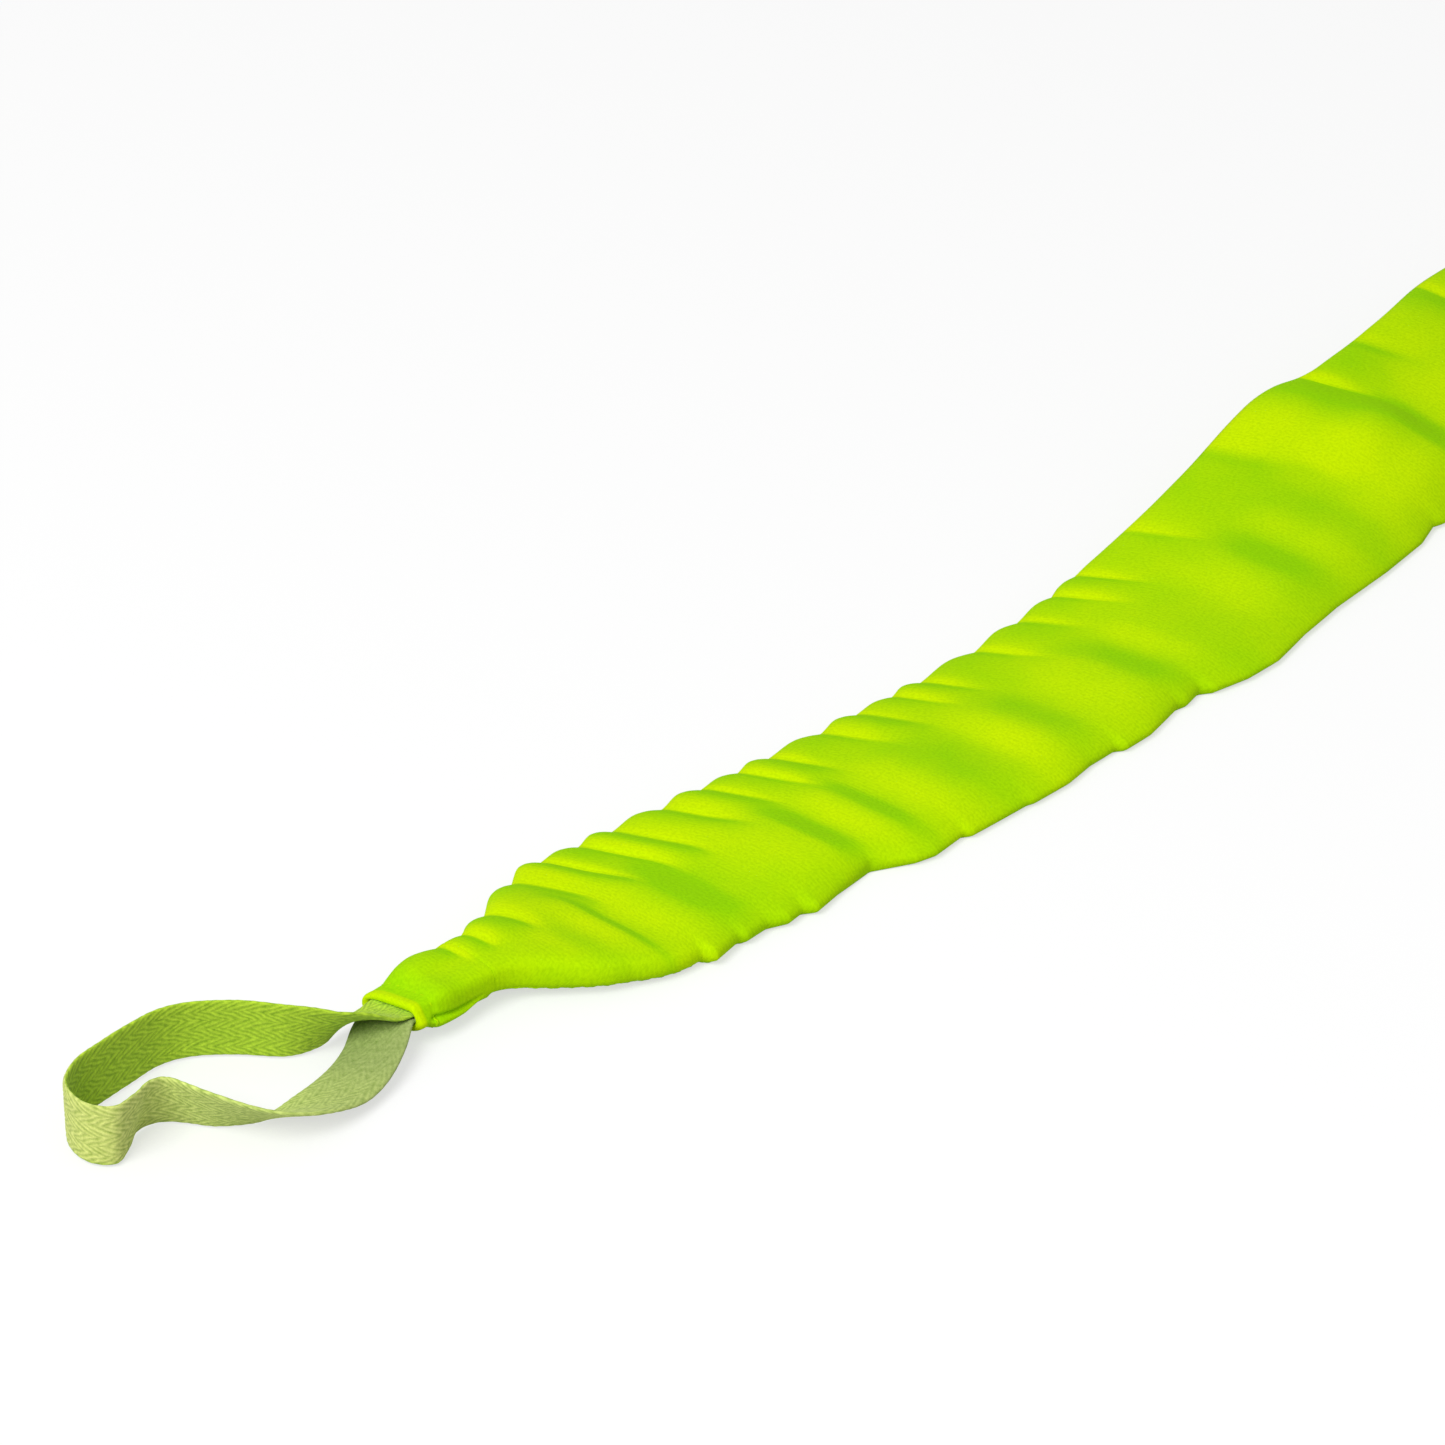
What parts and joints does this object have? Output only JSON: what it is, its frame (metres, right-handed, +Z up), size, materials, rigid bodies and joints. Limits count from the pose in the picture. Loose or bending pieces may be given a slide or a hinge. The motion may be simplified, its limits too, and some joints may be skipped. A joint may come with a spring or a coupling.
{
  "type": "resistance band",
  "caption": "Flat elastic resistance band in a ruched fabric sleeve, with a folded cuff and a sewn herringbone tape loop at each end for a hand, hook or strap.",
  "frame": {"origin": "on the surface that the band lies on, under the middle of the whole band", "axes": "+X along the band from the near cuff to the far cuff, +Y to the left, +Z up"},
  "size_m": [0.7982, 0.081, 0.0245],
  "materials": {
    "sleeve_fabric": "soft brushed knit, gathered",
    "cuff_fabric": "soft brushed knit, folded",
    "loop_tape": "herringbone cotton twill tape",
    "elastic": "flat natural elastic",
    "lime_thread": "spun polyester sewing thread"
  },
  "bodies": {
    "band": {"sleeve": "sleeve_fabric", "elastic_core": "elastic", "sleeve_seam_thread": "lime_thread", "near_cuff": "cuff_fabric", "near_tack_thread": "lime_thread", "near_hem_thread": "lime_thread"},
    "near_loop": {"near_loop_tape": "loop_tape"},
    "far_end": {"far_cuff": "cuff_fabric", "far_tack_thread": "lime_thread", "far_hem_thread": "lime_thread"},
    "far_loop": {"far_loop_tape": "loop_tape"}
  },
  "joints": [
    {"name": "stretch", "type": "slide", "parent": "band", "child": "far_end", "axis": [1, 0, 0], "range_m": [0, 0.4], "stiffness_N_per_m": 80, "deforming": ["sleeve", "elastic_core", "sleeve_seam_thread"]},
    {"name": "near_loop_swing", "type": "hinge", "parent": "band", "child": "near_loop", "pos_m": [-0.32, 0, 0.0048], "axis": [0.0721, 0.9974, 0], "range_deg": [0, 150], "deforming": ["near_loop_tape"]},
    {"name": "far_loop_swing", "type": "hinge", "parent": "far_end", "child": "far_loop", "pos_m": [0.32, 0, 0.0048], "axis": [-0.0721, -0.9974, 0], "range_deg": [0, 150], "deforming": ["far_loop_tape"]}
  ]
}
